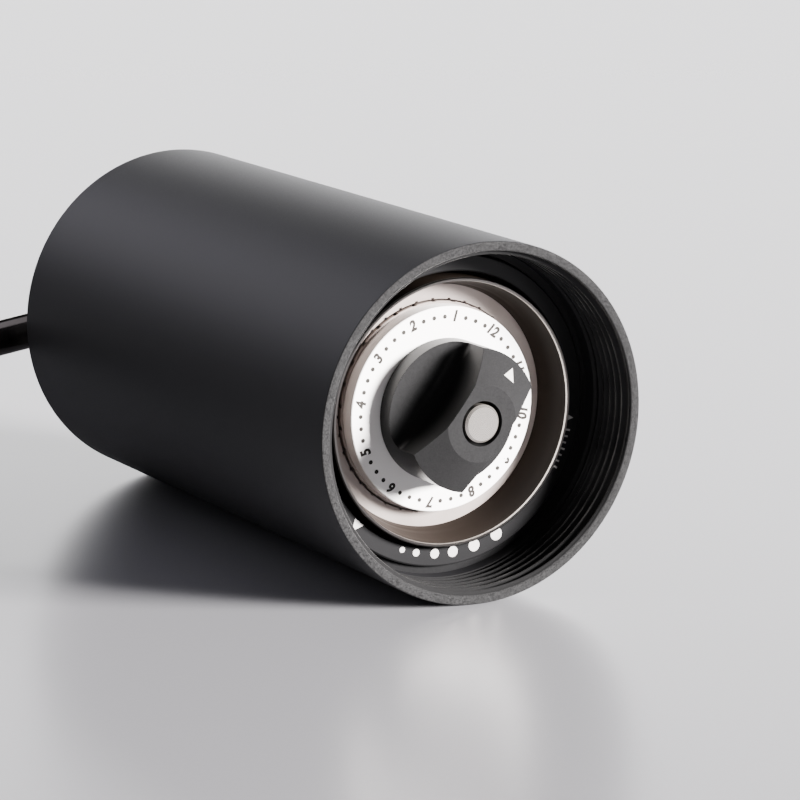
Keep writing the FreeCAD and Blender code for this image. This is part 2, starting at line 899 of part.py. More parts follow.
def lid_seal():
    """Rubber ring in the plug's groove."""
    middle = D.plug_front + D.groove_place + D.seal_section
    circle = D.plug_radius + D.seal_proud - D.seal_section
    keep(group("seal_ring", [torus("seal_torus", circle, D.seal_section, middle)]), "lid_seal")


def lid_bush():
    """Plain bush in the lid that the crank's spigot turns in."""
    keep(ring("bush", D.bush_inner, D.bush_outer, D.plug_front, D.lid_top), "lid_bush")


# ---------------------------------------------------------------- crank


def arm_direction():
    """Angle of the arm from straight left, so that the crank knob meets the floor with the tube."""
    drop = (D.tube_radius.value - D.grip_radius.value) / D.arm_reach.value
    return math.degrees(math.asin(drop))


def arm_point(distance):
    return polar(distance, 270.0 - arm_direction())


def arm_rod(name, radius, start, end):
    return radial(name, radius, start, end, 270.0 - arm_direction(), D.arm_place)


def crank_hub():
    """Hub that turns in the lid and takes the arm in a cross bore and the drive socket in its foot."""
    hub = turned(
        "hub_turned",
        [
            (D.socket_radius, D.spigot_front),
            (D.spigot_radius, D.spigot_front),
            (D.spigot_radius, D.crank_hub_front),
            (D.crank_hub_radius, D.crank_hub_front),
            (D.crank_hub_radius, D.crank_hub_back - D.crank_hub_edge),
            (D.crank_hub_radius - D.crank_hub_edge, D.crank_hub_back),
            (0.0, D.crank_hub_back),
            (0.0, D.shaft_back + D.hub_roof),
            (D.socket_radius, D.shaft_back + D.hub_roof),
        ],
    )
    bore = arm_rod("hub_arm_bore", D.arm_radius, D.arm_root, D.crank_hub_radius * 1.1)
    x, y = arm_point(D.pin_circle.value)
    bottom = D.crank_hub_back - D.pin_hole
    screw_hole = cylinder("hub_screw_hole", D.pin_radius, D.pin_hole, x=x, y=y, z=bottom)
    keep(cut("hub_cut", hub, fuse("hub_tools", bore, screw_hole)), "crank_hub")


def drive_socket():
    """Steel socket in the hub's foot that drops over the shaft's hexagon."""
    height = D.shaft_back + D.hub_roof - D.spigot_front
    blank = cylinder("socket_blank", D.socket_radius, height, z=D.spigot_front)
    hexagon = prism("socket_hex", 6, D.shaft_radius + D.hex_clear, height, z=D.spigot_front)
    keep(cut("socket_cut", blank, hexagon), "drive_socket")


def hub_clip():
    """Circlip below the lid's plug that keeps the hub in the lid."""
    back = D.plug_front - D.lid_gap
    outer = D.spigot_radius + D.hub_clip_width
    keep(ring("clip", D.spigot_radius, outer, back - D.hub_clip_thick, back), "hub_clip")


def arm_screw():
    """Set screw that pins the arm in the hub."""
    x, y = arm_point(D.pin_circle.value)
    front = D.crank_hub_back - D.pin_sink - D.pin_length
    body = cylinder("arm_screw_body", D.pin_radius, D.pin_length, x=x, y=y, z=front)
    floor = front + D.pin_length / 2
    socket = prism("arm_screw_socket", 6, D.pin_socket, D.pin_length, x=x, y=y, z=floor)
    keep(cut("arm_screw_cut", body, socket), "arm_screw")


def crank_arm():
    """Round steel rod with an eye at its end for the crank knob's axle."""
    rod = arm_rod("arm_rod", D.arm_radius, D.arm_root, D.arm_reach)
    x, y = arm_point(D.arm_reach.value)
    eye = cylinder("arm_eye", D.eye_radius, D.eye_back - D.eye_front, x=x, y=y, z=D.eye_front)
    hole = cylinder("arm_eye_hole", D.axle_radius, D.eye_back - D.eye_front, x=x, y=y, z=D.eye_front)
    keep(cut("arm_cut", fuse("arm_blank", rod, eye), hole), "crank_arm")


def at_grip(body):
    """Moves a turned piece from the grinder's axis to the crank knob's."""
    x, y = arm_point(D.arm_reach.value)
    body.Placement = FreeCAD.Placement(FreeCAD.Vector(x, y, 0), FreeCAD.Rotation())
    return body


def knob_axle():
    """Shoulder pin riveted in the arm's eye, with a head that keeps the crank knob on."""
    outline = [
        (0.0, D.eye_front - D.rivet_height),
        (D.axle_radius + D.rivet_width, D.eye_front - D.rivet_height),
        (D.axle_radius + D.rivet_width, D.eye_front),
        (D.axle_radius, D.eye_front),
        (D.axle_radius, D.axle_head),
        (D.axle_radius + D.axle_head_width, D.axle_head),
        (D.axle_radius + D.axle_head_width, D.axle_head + D.axle_head_height),
        (0.0, D.axle_head + D.axle_head_height),
    ]
    keep(at_grip(turned("axle", outline)), "knob_axle")


def crank_knob():
    """Turned grip, widest in the middle, with a bore for the bushes and a recess for the cap."""
    length = D.grip_back - D.grip_front
    recess = D.axle_radius + D.axle_head_width + D.cap_edge
    profile = [
        (0.56, 0.0),
        (0.68, 0.03),
        (0.85, 0.18),
        (0.96, 0.34),
        (1.0, 0.5),
        (1.0, 0.67),
        (0.95, 0.81),
        (0.83, 0.92),
        (0.66, 0.985),
    ]
    outline = [(D.grip_bore, D.grip_front)]
    for width, rise in profile:
        outline.append((D.grip_radius * width, D.grip_front + length * rise))
    outline.extend([
        (D.cap_radius + D.cap_edge, D.grip_back),
        (D.cap_radius, D.grip_back),
        (D.cap_radius, D.grip_back - D.cap_thick),
        (recess, D.grip_back - D.cap_thick),
        (recess, D.axle_head - D.cap_edge),
        (D.grip_bore, D.axle_head - D.cap_edge),
    ])
    keep(at_grip(turned("grip", outline)), "crank_knob")


def knob_bushes():
    """Two plain bushes pressed into the crank knob's bore."""
    near = D.grip_front + D.turning_play
    far = D.axle_head - D.cap_edge
    inner = D.axle_radius + D.insert_play
    bushes = [
        at_grip(ring("grip_bush", inner, D.grip_bore, near, near + D.bush_length)),
        at_grip(ring("grip_bush", inner, D.grip_bore, far - D.bush_length, far)),
    ]
    keep(group("grip_bush_pair", bushes), "knob_bushes")


def knob_washer():
    """Washer between the arm's eye and the crank knob."""
    inner = D.axle_radius
    outer = inner + D.washer_width
    washer = ring("grip_washer", inner, outer, D.eye_back, D.eye_back + D.washer_thick)
    keep(at_grip(washer), "knob_washer")


def knob_cap():
    """Push-in cap that covers the axle's head."""
    outline = [
        (0.0, D.grip_back - D.cap_thick),
        (D.cap_radius, D.grip_back - D.cap_thick),
        (D.cap_radius, D.grip_back - D.cap_edge),
        (D.cap_radius - D.cap_edge, D.grip_back),
        (0.0, D.grip_back),
    ]
    keep(at_grip(turned("cap", outline)), "knob_cap")


# ---------------------------------------------------------------- assembly

outer_tube()
inner_frame()
spider("lower_spider", D.lower_place)
spider("upper_spider", D.upper_place)
spider_screws()
bearing("lower", D.lower_place)
bearing("upper", D.upper_place)
bearing_clips()
ring_retainer()
burr_carrier()
carrier_screws()
outer_burr()
top_collar()
fine_ring()
drive_shaft()
shaft_clips()
spring_seat()
burr_spring()
cone_burr()
dial_plate()
dial_screws()
adjust_knob()
knob_insert()
detents()
lid()
lid_seal()
lid_bush()
crank_hub()
drive_socket()
hub_clip()
arm_screw()
crank_arm()
knob_axle()
crank_knob()
knob_bushes()
knob_washer()
knob_cap()
doc.recompute()

for item in doc.Objects:
    if "Invalid" in item.State or "Error" in item.State:
        raise RuntimeError(f"{item.Name} failed: {item.State}")

os.makedirs("parts", exist_ok=True)
for part in parts:
    shape = part.Shape
    if shape.isNull() or not shape.isValid() or not shape.Solids:
        raise RuntimeError(f"{part.Label} has no valid solid")
    if min(solid.Volume for solid in shape.Solids) <= 0:
        raise RuntimeError(f"{part.Label} holds an empty solid")
    shape.exportStep(f"parts/{part.Label}.step")
    print(f"{part.Label}: {len(shape.Solids)} solids, {shape.Volume:.1f} mm3")
print(f"{len(parts)} parts")
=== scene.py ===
"""Looks of the hand crank coffee grinder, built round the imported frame.

Sizes are in millimetres on the grinder's own axis, where a point is (radius, angle, depth). The
angle is in degrees clockwise from the top, seen from the mouth. The depth runs along +Y.
"""

import json
import math

import bmesh
import bpy
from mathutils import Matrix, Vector


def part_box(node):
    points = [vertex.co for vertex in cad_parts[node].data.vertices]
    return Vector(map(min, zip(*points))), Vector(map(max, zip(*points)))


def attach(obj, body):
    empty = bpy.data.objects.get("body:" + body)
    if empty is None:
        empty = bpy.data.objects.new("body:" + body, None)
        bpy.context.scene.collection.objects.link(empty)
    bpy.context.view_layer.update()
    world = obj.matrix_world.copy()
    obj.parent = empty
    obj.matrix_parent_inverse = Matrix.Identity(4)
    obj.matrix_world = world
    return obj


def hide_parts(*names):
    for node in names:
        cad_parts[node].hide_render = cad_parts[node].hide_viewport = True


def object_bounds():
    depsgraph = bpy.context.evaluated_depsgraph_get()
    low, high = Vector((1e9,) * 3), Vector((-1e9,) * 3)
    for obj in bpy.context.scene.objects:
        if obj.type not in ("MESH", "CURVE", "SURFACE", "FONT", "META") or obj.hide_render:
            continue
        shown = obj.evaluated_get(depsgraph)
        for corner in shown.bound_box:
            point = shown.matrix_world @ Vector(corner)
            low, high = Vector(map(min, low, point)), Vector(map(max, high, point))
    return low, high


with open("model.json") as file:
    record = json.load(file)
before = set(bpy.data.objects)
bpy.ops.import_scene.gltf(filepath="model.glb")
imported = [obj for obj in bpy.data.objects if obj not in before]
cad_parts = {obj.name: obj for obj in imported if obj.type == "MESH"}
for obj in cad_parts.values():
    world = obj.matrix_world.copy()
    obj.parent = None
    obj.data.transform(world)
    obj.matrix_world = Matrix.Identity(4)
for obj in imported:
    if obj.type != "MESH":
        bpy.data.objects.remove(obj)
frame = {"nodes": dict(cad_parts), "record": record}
cad_low, cad_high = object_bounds()
nodes = frame["nodes"]
record = frame["record"]

MM = 0.001
SEGMENTS = 192
GRIP_SEGMENTS = 96
SHARP_ANGLE = 50.0


# ---------------------------------------------------------------- materials

# The part of its range where the value of a noise mostly lies.
NOISE_LOW = 0.3
NOISE_HIGH = 0.7
BEVEL_SAMPLES = 4


class Look:
    """A material under construction: one principled shader and helpers that wire nodes into it."""

    def __init__(self, name):
        self.material = bpy.data.materials.new(name)
        self.material.use_nodes = True
        self.tree = self.material.node_tree
        self.shader = self.tree.nodes["Principled BSDF"]

    def node(self, kind, **settings):
        """A new node, with each setting put on its property or else on its input."""
        item = self.tree.nodes.new(kind)
        for key, value in settings.items():
            if hasattr(item, key):
                setattr(item, key, value)
            else:
                item.inputs[key].default_value = value
        return item

    def wire(self, source, target, socket):
        output = source if isinstance(source, bpy.types.NodeSocket) else source.outputs[0]
        self.tree.links.new(output, target.inputs[socket])

    def put(self, **values):
        """Sets sockets of the shader, named in lower case with underscores."""
        for key, value in values.items():
            socket = key.replace("_", " ").title().replace("Ior", "IOR")
            self.shader.inputs[socket].default_value = value

    def place(self):
        return self.node("ShaderNodeTexCoord").outputs["Object"]

    def noise(self, size_mm, detail=3.0, stretch=(1, 1, 1)):
        """Noise whose features are about size_mm across, stretched along an axis when asked."""
        mapping = self.node("ShaderNodeMapping")
        mapping.inputs["Scale"].default_value = [1 / (value * size_mm * MM) for value in stretch]
        self.wire(self.place(), mapping, "Vector")
        noise = self.node("ShaderNodeTexNoise", Scale=1.0, Detail=detail)
        self.wire(mapping, noise, "Vector")
        return noise.outputs["Fac"]

    def lathe_marks(self, size_mm):
        """Noise in the distance from the grinder's axis, as a turning tool leaves."""
        split = self.node("ShaderNodeSeparateXYZ")
        self.wire(self.place(), split, "Vector")
        flat = self.node("ShaderNodeCombineXYZ")
        self.wire(split.outputs["X"], flat, "X")
        self.wire(split.outputs["Z"], flat, "Y")
        radius = self.node("ShaderNodeVectorMath", operation="LENGTH")
        self.wire(flat, radius, 0)
        scaled = self.node("ShaderNodeMath", operation="MULTIPLY")
        scaled.inputs[1].default_value = 1 / (size_mm * MM)
        self.wire(radius.outputs["Value"], scaled, 0)
        noise = self.node("ShaderNodeTexNoise", noise_dimensions="1D", Scale=1.0, Detail=2.0)
        self.wire(scaled, noise, "W")
        return noise.outputs["Fac"]

    def spread(self, source, low, high, start=NOISE_LOW, end=NOISE_HIGH):
        """Maps start to end of a value onto low to high."""
        ranged = self.node("ShaderNodeMapRange")
        sockets = {"From Min": start, "From Max": end, "To Min": low, "To Max": high}
        for socket, value in sockets.items():
            ranged.inputs[socket].default_value = value
        self.wire(source, ranged, "Value")
        return ranged

    def tint(self, source, first, second):
        """Colours the surface from first to second with a value."""
        ramp = self.node("ShaderNodeValToRGB")
        ramp.color_ramp.elements[0].position = NOISE_LOW
        ramp.color_ramp.elements[1].position = NOISE_HIGH
        ramp.color_ramp.elements[0].color = (*first, 1)
        ramp.color_ramp.elements[1].color = (*second, 1)
        self.wire(source, ramp, "Fac")
        self.wire(ramp, self.shader, "Base Color")

    def relief(self, source, height_mm, edge_mm=0.0):
        """Bumps from a value, over edges softened by a radius."""
        bump = self.node("ShaderNodeBump", Strength=1.0, Distance=height_mm * MM)
        self.wire(source, bump, "Height")
        if edge_mm:
            bevel = self.node("ShaderNodeBevel", samples=BEVEL_SAMPLES, Radius=edge_mm * MM)
            self.wire(bevel, bump, "Normal")
        self.wire(bump, self.shader, "Normal")


TURNED_PITCH = 0.12
TURNED_PATCH = 7.0
TURNED_EDGE = 0.1
DRAWN_LINE = 0.25
DRAWN_PATCH = 9.0
DRAWN_HEIGHT = 0.002
# Depths in metres between which the painted highlight on the carrier's front edge gives way to the
# dark bronze tone, which is partly painted shade.
PAINTED_HIGHLIGHT_END = 0.00795
PAINTED_SHADE_START = 0.0081


def blasted(
    name, first, second, metallic, roughness, grain=0.16, height=0.006, edge=0.12, specular=0.5
):
    """Bead blasted or fine moulded surface: an even fine grain with soft edges."""
    look = Look(name)
    fine = look.noise(grain)
    look.tint(fine, first, second)
    look.wire(look.spread(fine, roughness - 0.04, roughness + 0.05), look.shader, "Roughness")
    look.put(metallic=metallic, specular_ior_level=specular)
    look.relief(fine, height, edge)
    return look.material


def turned(name, first, second, metallic, roughness, height=0.003, round_axis=0.0):
    """Turned metal: fine rings round the axis over a broad, faint change of tone."""
    look = Look(name)
    rings = look.lathe_marks(TURNED_PITCH)
    look.tint(look.noise(TURNED_PATCH), first, second)
    look.wire(look.spread(rings, roughness - 0.05, roughness + 0.06), look.shader, "Roughness")
    look.put(metallic=metallic)
    if round_axis:
        tangent = look.node("ShaderNodeTangent", direction_type="RADIAL", axis="Y")
        look.wire(tangent, look.shader, "Tangent")
        look.put(anisotropic=round_axis)
    look.relief(rings, height, TURNED_EDGE)
    return look.material


def drawn(name, first, second, metallic, roughness, stretch):
    """Polished rod or wire with faint lines along it."""
    look = Look(name)
    lines = look.noise(DRAWN_LINE, stretch=stretch)
    look.tint(look.noise(DRAWN_PATCH), first, second)
    look.wire(look.spread(lines, roughness - 0.04, roughness + 0.05), look.shader, "Roughness")
    look.put(metallic=metallic)
    look.relief(lines, DRAWN_HEIGHT)
    return look.material


def carrier_bronze():
    """Dark bronze tone, partly the metal's own and partly painted shade, with a painted highlight
    as a bright band on the turned edge at the very front.
    """
    look = Look("carrier_steel")
    split = look.node("ShaderNodeSeparateXYZ")
    look.wire(look.place(), split, "Vector")
    # Painted highlight: a bright metallic band at the front edge; behind it a near-black tone that
    # is partly painted shade.
    painted_highlight = look.spread(split.outputs["Y"], 1.0, 0.0, start=PAINTED_HIGHLIGHT_END, end=PAINTED_SHADE_START)
    look.tint(painted_highlight, (0.010, 0.0075, 0.006), (0.32, 0.30, 0.28))
    look.wire(painted_highlight, look.shader, "Metallic")
    specular = look.spread(painted_highlight, 0.03, 0.5, start=0.0, end=1.0)
    look.wire(specular, look.shader, "Specular IOR Level")
    rings = look.lathe_marks(0.2)
    look.wire(look.spread(rings, 0.3, 0.42), look.shader, "Roughness")
    look.relief(rings, 0.003, 0.1)
    return look.material


LOOKS = {
    "anodised_black": blasted(
        "anodised_black", (0.008, 0.008, 0.009), (0.013, 0.013, 0.014), 0.0, 0.52, specular=0.262
    ),
    "frame_black": blasted(
        "frame_black", (0.006, 0.006, 0.0063), (0.009, 0.009, 0.0094), 0.0, 0.4, specular=0.35
    ),
    "ring_black": blasted(
        "ring_black", (0.007, 0.007, 0.0073), (0.010, 0.010, 0.0105), 0.0, 0.32, specular=0.25
    ),
    "spider_alloy": blasted(
        "spider_alloy", (0.50, 0.50, 0.51), (0.62, 0.62, 0.63), 1.0, 0.45, grain=0.3
    ),
    "screw_steel": turned("screw_steel", (0.42, 0.42, 0.43), (0.50, 0.50, 0.51), 1.0, 0.3),
    "bearing_steel": turned(
        "bearing_steel", (0.68, 0.68, 0.69), (0.75, 0.75, 0.76), 1.0, 0.14, height=0.001
    ),
    "spring_steel": drawn(
        "spring_steel", (0.30, 0.30, 0.31), (0.38, 0.38, 0.39), 1.0, 0.28, stretch=(1, 1, 1)
    ),
    "carrier_steel": carrier_bronze(),
    "burr_steel": turned("burr_steel", (0.29, 0.248, 0.23), (0.35, 0.305, 0.287), 0.4, 0.38),
    "dial_silver": blasted(
        "dial_silver", (0.86, 0.845, 0.835), (0.92, 0.905, 0.895), 0.1, 0.5, grain=0.1
    ),
    "shaft_steel": turned(
        "shaft_steel", (0.56, 0.52, 0.48), (0.64, 0.60, 0.56), 0.9, 0.26, round_axis=0.75
    ),
    "knob_black": blasted(
        "knob_black", (0.008, 0.008, 0.0083), (0.012, 0.012, 0.0124), 0.0, 0.32,
        grain=0.2, specular=0.08,
    ),
    "insert_brass": turned("insert_brass", (0.60, 0.44, 0.20), (0.72, 0.55, 0.28), 1.0, 0.3),
    "lid_black": blasted("lid_black", (0.014, 0.014, 0.015), (0.024, 0.024, 0.026), 0.0, 0.5),
    "seal_rubber": blasted(
        "seal_rubber", (0.03, 0.03, 0.03), (0.045, 0.045, 0.045), 0.0, 0.7, height=0.01
    ),
    "bush_plastic": blasted(
        "bush_plastic", (0.68, 0.66, 0.62), (0.76, 0.74, 0.70), 0.0, 0.42, grain=0.4
    ),
    "hub_black": blasted("hub_black", (0.014, 0.014, 0.015), (0.022, 0.022, 0.024), 0.2, 0.38),
    "arm_steel": drawn(
        "arm_steel", (0.16, 0.145, 0.135), (0.20, 0.185, 0.175), 1.0, 0.16, stretch=(60, 1, 1)
    ),
    "grip_black": blasted(
        "grip_black", (0.018, 0.017, 0.016), (0.028, 0.027, 0.026), 0.0, 0.45, grain=0.3
    ),
    "cap_black": turned("cap_black", (0.04, 0.04, 0.042), (0.055, 0.055, 0.058), 0.6, 0.3),
}
RIM_LOOK = blasted(
    "rim_satin", (0.005, 0.005, 0.0052), (0.021, 0.021, 0.0215), 0.0, 0.42,
    grain=0.2, height=0.016, specular=0.1,
)
THREAD_LOOK = blasted(
    "thread_satin", (0.006, 0.006, 0.0062), (0.010, 0.010, 0.0103), 0.0, 0.32,
    edge=0.0, specular=0.1,
)
PRINT_LIGHT = blasted(
    "print_light", (0.34, 0.33, 0.32), (0.40, 0.39, 0.38), 0.0, 0.55, edge=0.0
)
PRINT_GREY = blasted(
    "print_grey", (0.020, 0.018, 0.017), (0.028, 0.026, 0.024), 0.0, 0.4, edge=0.0, specular=0.1
)

for subpart in record["subparts"]:
    for holder in nodes[subpart["node"]].material_slots:
        holder.material = LOOKS[subpart["material_slot"]]


# ---------------------------------------------------------------- geometry helpers


def spot(radius, degrees, depth):
    """A point given round the grinder's axis in millimetres, as a point in metres."""
    angle = math.radians(degrees)
    return Vector((radius * math.sin(angle), depth, radius * math.cos(angle))) * MM


def add_piece(name, mesh, body, looks, weighted=False):
    """Puts a mesh with its looks on a body of the frame."""
    piece = bpy.data.objects.new(name, mesh)
    bpy.context.scene.collection.objects.link(piece)
    for look in looks:
        mesh.materials.append(look)
    if weighted:
        normals = piece.modifiers.new("even_normals", "WEIGHTED_NORMAL")
        normals.keep_sharp = True
    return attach(piece, body)


def sweep_rows(name, rows, looks_of_rows, segments):
    """A closed skin round the axis. Each row is a function of the angle giving (radius, depth)."""
    grid = bmesh.new()
    loops = []
    for row in rows:
        loop = []
        for step in range(segments):
            degrees = 360.0 * step / segments
            radius, depth = row(degrees)
            loop.append(grid.verts.new(spot(radius, degrees, depth)))
        loops.append(loop)
    for index, loop in enumerate(loops):
        following = loops[(index + 1) % len(loops)]
        for step in range(segments):
            ahead = (step + 1) % segments
            face = grid.faces.new((loop[step], loop[ahead], following[ahead], following[step]))
            face.smooth = True
            face.material_index = looks_of_rows[index]
    bmesh.ops.recalc_face_normals(grid, faces=grid.faces)
    mesh = bpy.data.meshes.new(name)
    grid.to_mesh(mesh)
    grid.free()
    mesh.set_sharp_from_angle(angle=math.radians(SHARP_ANGLE))
    return mesh


def steady(radius, depth):
    """A row of sweep_rows that is the same all round."""
    return lambda degrees: (radius, depth)


# ---------------------------------------------------------------- tube with its cup thread

TUBE_RADIUS = -cad_low.z / MM
TUBE_FRONT = cad_low.y / MM
TUBE_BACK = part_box("outer_tube")[1].y / MM
BACK_EDGE = 0.5
BACK_EDGE_BULGE = 0.15
RIM_EDGE = 0.22
RIM_EDGE_BULGE = RIM_EDGE * 0.3
RIM_CHAMFER = 0.22
THREAD_ROOT = 27.0
THREAD_CREST = 26.3
THREAD_PITCH = 1.7
THREAD_STEP = 0.1
THREAD_PHASE = 0.55
THREAD_FADE_IN = 0.7
THREAD_FADE_OUT = 0.5
CREST_HALF = 0.2
FLANK = 0.38
THREAD_END = 8.0
TUBE_RUN_OUT = 8.4


def smooth_step(value, start, end):
    """Rises smoothly from 0 at start to 1 at end."""
    share = min(max((value - start) / (end - start), 0.0), 1.0)
    return share * share * (3 - 2 * share)


def thread_row(depth):
    """Inner wall of the mouth at a depth, where the thread's ridge winds past."""

    def row(degrees):
        turn = (depth / THREAD_PITCH - degrees / 360.0 + THREAD_PHASE) % 1.0
        away = abs(turn - 0.5) * THREAD_PITCH
        ridge = min(max((CREST_HALF + FLANK - away) / FLANK, 0.0), 1.0)
        start = TUBE_FRONT + RIM_CHAMFER
        fade_in = smooth_step(depth, start, start + THREAD_FADE_IN)
        fade_out = 1 - smooth_step(depth, THREAD_END - THREAD_FADE_OUT, THREAD_END)
        fade = fade_in * fade_out
        return THREAD_ROOT - (THREAD_ROOT - THREAD_CREST) * ridge * fade, depth

    return row


def tube():
    """The outer tube with soft edges, a satin rim and a helical thread in its mouth."""
    body, rim, thread = 0, 1, 2
    rows = [
        (steady(THREAD_CREST, TUBE_BACK), body),
        (steady(TUBE_RADIUS - BACK_EDGE, TUBE_BACK), body),
        (steady(TUBE_RADIUS - BACK_EDGE_BULGE, TUBE_BACK - BACK_EDGE_BULGE), body),
        (steady(TUBE_RADIUS, TUBE_BACK - BACK_EDGE), body),
        (steady(TUBE_RADIUS, TUBE_FRONT + RIM_EDGE), body),
        (steady(TUBE_RADIUS - RIM_EDGE_BULGE, TUBE_FRONT + RIM_EDGE_BULGE), rim),
        (steady(TUBE_RADIUS - RIM_EDGE, TUBE_FRONT), rim),
        (steady(THREAD_ROOT + RIM_CHAMFER, TUBE_FRONT), rim),
        (steady(THREAD_ROOT, TUBE_FRONT + RIM_CHAMFER), thread),
    ]
    depth = TUBE_FRONT + RIM_CHAMFER + THREAD_STEP
    while depth < THREAD_END:
        rows.append((thread_row(depth), thread))
        depth += THREAD_STEP
    rows.append((steady(THREAD_ROOT, THREAD_END), thread))
    rows.append((steady(THREAD_CREST, TUBE_RUN_OUT), body))
    shapes, looks_of_rows = zip(*rows)
    mesh = sweep_rows("tube_shell", shapes, looks_of_rows, SEGMENTS)
    looks = [LOOKS["anodised_black"], RIM_LOOK, THREAD_LOOK]
    piece = add_piece("tube_shell", mesh, "housing", looks, weighted=True)
    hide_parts("outer_tube")


tube()

# ---------------------------------------------------------------- crank knob's grip

GRIP_LOW, GRIP_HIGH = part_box("crank_knob")
GRIP_AXIS = Vector(((GRIP_LOW.x + GRIP_HIGH.x) / 2, 0.0, (GRIP_LOW.z + GRIP_HIGH.z) / 2))
GRIP_FRONT = GRIP_LOW.y / MM
GRIP_BACK = GRIP_HIGH.y / MM
GRIP_RADIUS = (GRIP_HIGH.x - GRIP_LOW.x) / 2 / MM
GRIP_BORE = 4.2
GRIP_RECESS = 4.5
GRIP_RECESS_DEPTH = 7.3
CAP_RADIUS = 5.8
CAP_EDGE = 0.3
CAP_THICK = 2.0
# Shares of the grip's radius and of its length, from the arm's end to the cap.
GRIP_PROFILE = (
    (0.56, 0.0), (0.68, 0.03), (0.85, 0.18), (0.96, 0.34), (1.0, 0.5),
    (1.0, 0.67), (0.95, 0.81), (0.83, 0.92), (0.66, 0.985),
)
GRIP_STEPS = 5


def rounded(profile, steps):
    """Points of a smooth curve through a profile, never wider than the profile's widest point."""
    widest = max(point[0] for point in profile)
    points = []
    for index in range(len(profile) - 1):
        before = profile[max(index - 1, 0)]
        start = profile[index]
        end = profile[index + 1]
        after = profile[min(index + 2, len(profile) - 1)]
        for step in range(steps):
            share = step / steps
            point = []
            for axis in (0, 1):
                near = (end[axis] - before[axis]) / 2
                far = (after[axis] - start[axis]) / 2
                point.append(
                    start[axis] * (2 * share**3 - 3 * share**2 + 1)
                    + near * (share**3 - 2 * share**2 + share)
                    + end[axis] * (3 * share**2 - 2 * share**3)
                    + far * (share**3 - share**2)
                )
            points.append((min(point[0], widest), point[1]))
    points.append(profile[-1])
    return points


def grip():
    """The turned grip with a smooth barrel, its bore and the recess for the cap."""
    length = GRIP_BACK - GRIP_FRONT
    rows = [steady(GRIP_BORE, GRIP_FRONT)]
    for width, rise in rounded(GRIP_PROFILE, GRIP_STEPS):
        rows.append(steady(GRIP_RADIUS * width, GRIP_FRONT + length * rise))
    rows.append(steady(CAP_RADIUS + CAP_EDGE, GRIP_BACK))
    rows.append(steady(CAP_RADIUS, GRIP_BACK))
    rows.append(steady(CAP_RADIUS, GRIP_BACK - CAP_THICK))
    rows.append(steady(GRIP_RECESS, GRIP_BACK - CAP_THICK))
    rows.append(steady(GRIP_RECESS, GRIP_BACK - GRIP_RECESS_DEPTH))
    rows.append(steady(GRIP_BORE, GRIP_BACK - GRIP_RECESS_DEPTH))
    mesh = sweep_rows("grip_shell", rows, [0] * len(rows), GRIP_SEGMENTS)
    for vertex in mesh.vertices:
        vertex.co += GRIP_AXIS
    piece = add_piece("grip_shell", mesh, "grip", [LOOKS["grip_black"]], weighted=True)
    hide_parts("crank_knob")


grip()

# ---------------------------------------------------------------- printed marks

MARK_LIFT = 0.012
MARK_THICK = 0.02
DISC_SIDES = 28
TRIANGLE_ROWS = 8
GLYPH_SLANT = 0.12
GLYPH_NARROW = 0.92
GLYPH_WEIGHT = 0.05


def glyph(text, height):
    """Faces of a short text centred on (0, 0), as ([(u, v)], [faces]) in millimetres."""
    curve = bpy.data.curves.new("glyph", "FONT")
    curve.body = text
    curve.align_x = "CENTER"
    curve.align_y = "CENTER"
    curve.size = 1.0
    curve.resolution_u = 6
    curve.offset = GLYPH_WEIGHT
    holder = bpy.data.objects.new("glyph", curve)
    bpy.context.scene.collection.objects.link(holder)
    bpy.context.view_layer.update()
    drawn_text = holder.evaluated_get(bpy.context.evaluated_depsgraph_get())
    mesh = bpy.data.meshes.new_from_object(drawn_text)
    low = min(vertex.co.y for vertex in mesh.vertices)
    high = max(vertex.co.y for vertex in mesh.vertices)
    left = min(vertex.co.x for vertex in mesh.vertices)
    right = max(vertex.co.x for vertex in mesh.vertices)
    scale = height / (high - low)
    points = []
    for vertex in mesh.vertices:
        v = (vertex.co.y - (low + high) / 2) * scale
        u = (vertex.co.x - (left + right) / 2) * scale * GLYPH_NARROW + v * GLYPH_SLANT
        points.append((u, v))
    faces = [tuple(face.vertices) for face in mesh.polygons]
    bpy.data.objects.remove(holder)
    bpy.data.curves.remove(curve)
    bpy.data.meshes.remove(mesh)
    return points, faces


